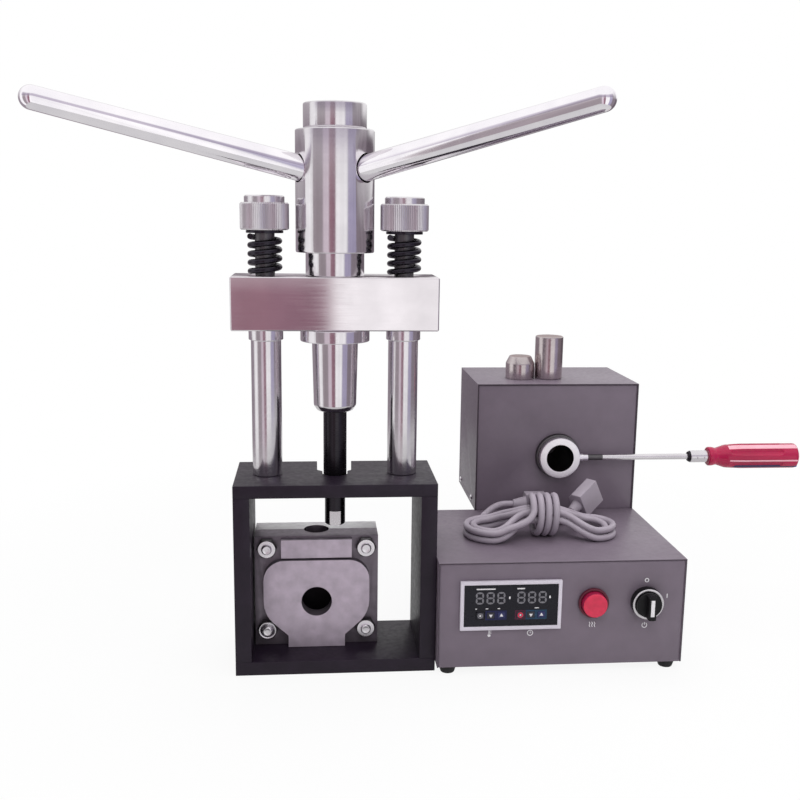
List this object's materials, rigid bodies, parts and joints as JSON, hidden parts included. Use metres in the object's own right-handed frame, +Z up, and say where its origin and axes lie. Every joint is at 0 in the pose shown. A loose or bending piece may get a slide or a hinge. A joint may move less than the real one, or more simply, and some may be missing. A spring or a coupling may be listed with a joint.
{
  "type": "flexible denture injector",
  "caption": "Hand screw press with sprung crosshead, handle bars and a bolted flask, beside an electric heater that warms a cartridge barrel with a side handle.",
  "frame": {"origin": "on the bench, under the ram's axis, at the middle of the press's base plate", "axes": "+X to the right, from the press to the heater; +Y to the back; +Z up along the ram"},
  "size_m": [0.7576, 0.4367, 0.525],
  "materials": {
    "frame_paint": "satin near-black paint",
    "bright_steel": "polished chrome",
    "ground_steel": "ground and polished steel",
    "knurled_steel": "satin steel, straight knurl",
    "spring_steel": "black spring steel",
    "black_oxide": "black oxide",
    "flask_metal": "sand-cast grey",
    "zinc_bolts": "bright zinc plate",
    "casing_paint": "lilac-grey paint",
    "black_rubber": "black rubber",
    "meter_plastic": "charcoal plastic with a silver rim",
    "key_plastic": "membrane keys",
    "lamp_housing": "dark red plastic rim",
    "lamp_red": "translucent red",
    "switch_metal": "satin silver bezel",
    "knob_plastic": "black plastic with a white pointer",
    "inlet_plastic": "black plastic",
    "core_metal": "dark heat-stained metal",
    "insulation": "pale fibre board",
    "screw_steel": "bright steel",
    "barrel_metal": "satin pale metal",
    "grip_plastic": "translucent red acetate",
    "cartridge_metal": "satin turned metal",
    "cord_pvc": "light lilac-grey PVC"
  },
  "bodies": {
    "base": {"frame_base_plate": "frame_paint", "frame_left_post": "frame_paint", "frame_right_post": "frame_paint", "frame_top_plate": "frame_paint", "left_column": "bright_steel", "right_column": "bright_steel", "control_base": "casing_paint", "control_cover": "casing_paint", "control_front_panel": "casing_paint", "rubber_feet": "black_rubber", "panel_meter": "meter_plastic", "lamp_body": "lamp_housing", "lamp_lens": "lamp_red", "switch_body": "switch_metal", "power_inlet": "inlet_plastic", "furnace_stand": "casing_paint", "furnace_base": "casing_paint", "furnace_cover": "casing_paint", "furnace_front_panel": "casing_paint", "heater_core": "core_metal", "insulation_block": "insulation", "casing_screws": "screw_steel", "nozzle_cap": "cartridge_metal", "plunger": "cartridge_metal", "power_cord": "cord_pvc", "cord_connector": "cord_pvc", "cord_plug": "cord_pvc"},
    "crosshead": {"crosshead": "ground_steel", "left_spring": "spring_steel", "right_spring": "spring_steel", "screw_nut": "bright_steel", "lock_ring": "knurled_steel", "ram_guide": "bright_steel"},
    "left_seat": {"left_spring_seat": "spring_steel"},
    "right_seat": {"right_spring_seat": "spring_steel"},
    "left_nut": {"left_knurled_nut": "knurled_steel"},
    "right_nut": {"right_knurled_nut": "knurled_steel"},
    "ram": {"ram_rod": "black_oxide", "thrust_bearing": "knurled_steel"},
    "hub": {"hub": "bright_steel", "hub_cap": "bright_steel", "screw_spindle": "bright_steel", "left_handle": "bright_steel", "right_handle": "bright_steel", "rear_handle": "bright_steel"},
    "flask": {"flask_front_half": "flask_metal", "flask_rear_half": "flask_metal", "flask_bolts": "zinc_bolts", "flask_nuts": "zinc_bolts"},
    "barrel": {"injection_barrel": "barrel_metal", "handle_shaft": "bright_steel", "handle_ferrule": "bright_steel", "handle_grip": "grip_plastic"},
    "switch_knob": {"switch_knob": "knob_plastic"},
    "temp_set_key": {"temp_set_key": "key_plastic"},
    "temp_down_key": {"temp_down_key": "key_plastic"},
    "temp_up_key": {"temp_up_key": "key_plastic"},
    "time_set_key": {"time_set_key": "key_plastic"},
    "time_down_key": {"time_down_key": "key_plastic"},
    "time_up_key": {"time_up_key": "key_plastic"}
  },
  "joints": [
    {"name": "crosshead_float", "type": "slide", "parent": "base", "child": "crosshead", "axis": [0, 0, 1], "range_m": [0, 0.006], "stiffness_N_per_m": 20000, "springref_m": -0.003, "deforming": ["left_spring", "right_spring"]},
    {"name": "ram_feed", "type": "slide", "parent": "crosshead", "child": "ram", "axis": [0, 0, 1], "range_m": [-0.0081, 0.0601]},
    {"name": "hub_turn", "type": "hinge", "parent": "ram", "child": "hub", "pos_m": [0, 0, 0.46], "axis": [0, 0, 1], "range_deg": [-480, 3600]},
    {"name": "left_seat_slide", "type": "slide", "parent": "base", "child": "left_seat", "axis": [0, 0, 1], "range_m": [0, 0.0076], "stiffness_N_per_m": 60, "springref_m": 0.05},
    {"name": "left_nut_turn", "type": "hinge", "parent": "left_seat", "child": "left_nut", "pos_m": [-0.064, 0, 0.425], "axis": [0, 0, 1], "range_deg": [0, 1800]},
    {"name": "right_seat_slide", "type": "slide", "parent": "base", "child": "right_seat", "axis": [0, 0, 1], "range_m": [0, 0.0076], "stiffness_N_per_m": 60, "springref_m": 0.05},
    {"name": "right_nut_turn", "type": "hinge", "parent": "right_seat", "child": "right_nut", "pos_m": [0.064, 0, 0.425], "axis": [0, 0, 1], "range_deg": [0, 1800]},
    {"name": "flask_slide", "type": "slide", "parent": "base", "child": "flask", "axis": [0, -1, 0], "range_m": [0, 0.045]},
    {"name": "barrel_pull", "type": "slide", "parent": "base", "child": "barrel", "axis": [0, -1, 0], "range_m": [0, 0.09]},
    {"name": "switch_turn", "type": "hinge", "parent": "base", "child": "switch_knob", "pos_m": [0.293, -0.06, 0.07], "axis": [0, 1, 0], "range_deg": [0, 90]},
    {"name": "temp_set_key_press", "type": "slide", "parent": "base", "child": "temp_set_key", "axis": [0, 1, 0], "range_m": [0, 0.0005], "stiffness_N_per_m": 800},
    {"name": "temp_down_key_press", "type": "slide", "parent": "base", "child": "temp_down_key", "axis": [0, 1, 0], "range_m": [0, 0.0005], "stiffness_N_per_m": 800},
    {"name": "temp_up_key_press", "type": "slide", "parent": "base", "child": "temp_up_key", "axis": [0, 1, 0], "range_m": [0, 0.0005], "stiffness_N_per_m": 800},
    {"name": "time_set_key_press", "type": "slide", "parent": "base", "child": "time_set_key", "axis": [0, 1, 0], "range_m": [0, 0.0005], "stiffness_N_per_m": 800},
    {"name": "time_down_key_press", "type": "slide", "parent": "base", "child": "time_down_key", "axis": [0, 1, 0], "range_m": [0, 0.0005], "stiffness_N_per_m": 800},
    {"name": "time_up_key_press", "type": "slide", "parent": "base", "child": "time_up_key", "axis": [0, 1, 0], "range_m": [0, 0.0005], "stiffness_N_per_m": 800}
  ],
  "couplings": [
    {"joint": "ram_feed", "follows": "hub_turn", "m_per_rad": 0.00095493},
    {"joint": "left_seat_slide", "follows": "left_nut_turn", "m_per_rad": 0.00023873},
    {"joint": "right_seat_slide", "follows": "right_nut_turn", "m_per_rad": 0.00023873}
  ]
}
